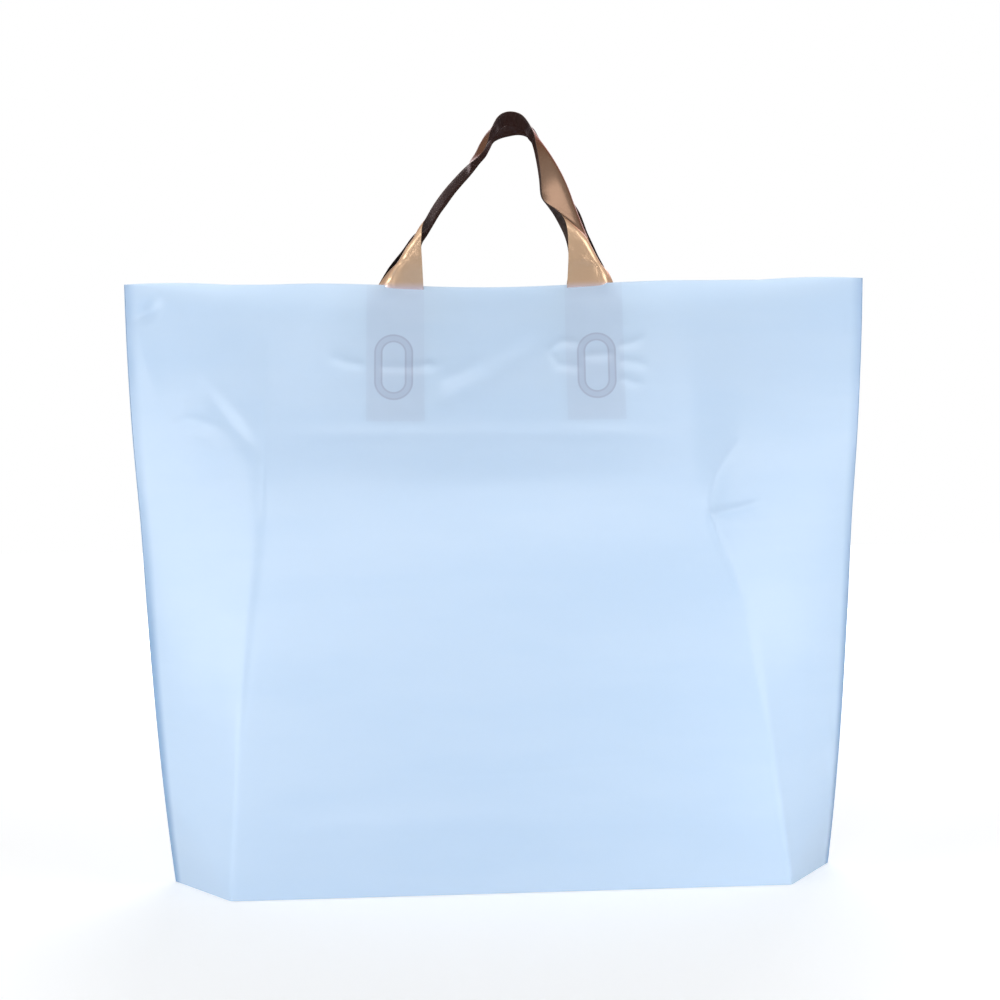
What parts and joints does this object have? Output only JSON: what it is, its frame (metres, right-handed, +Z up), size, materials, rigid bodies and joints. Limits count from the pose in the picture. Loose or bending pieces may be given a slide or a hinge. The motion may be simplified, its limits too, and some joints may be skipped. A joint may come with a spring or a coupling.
{
  "type": "plastic carrier bag",
  "caption": "Open film carrier bag with a folded flat base, knife-sealed sides and soft strip handles welded inside its panels.",
  "frame": {"origin": "middle of the base on the surface the bag stands on", "axes": "+X across the bag to the right as seen from the front panel, +Y from the front panel to the back panel, +Z up"},
  "size_m": [0.4978, 0.1456, 0.5056],
  "materials": {
    "pale_blue_film": "thin translucent polyethylene film with a soft gloss",
    "brown_film": "thicker semi-opaque polyethylene film with a soft gloss"
  },
  "bodies": {
    "root": {"bag_body": "pale_blue_film", "front_handle": "brown_film", "back_handle": "brown_film"}
  },
  "joints": []
}
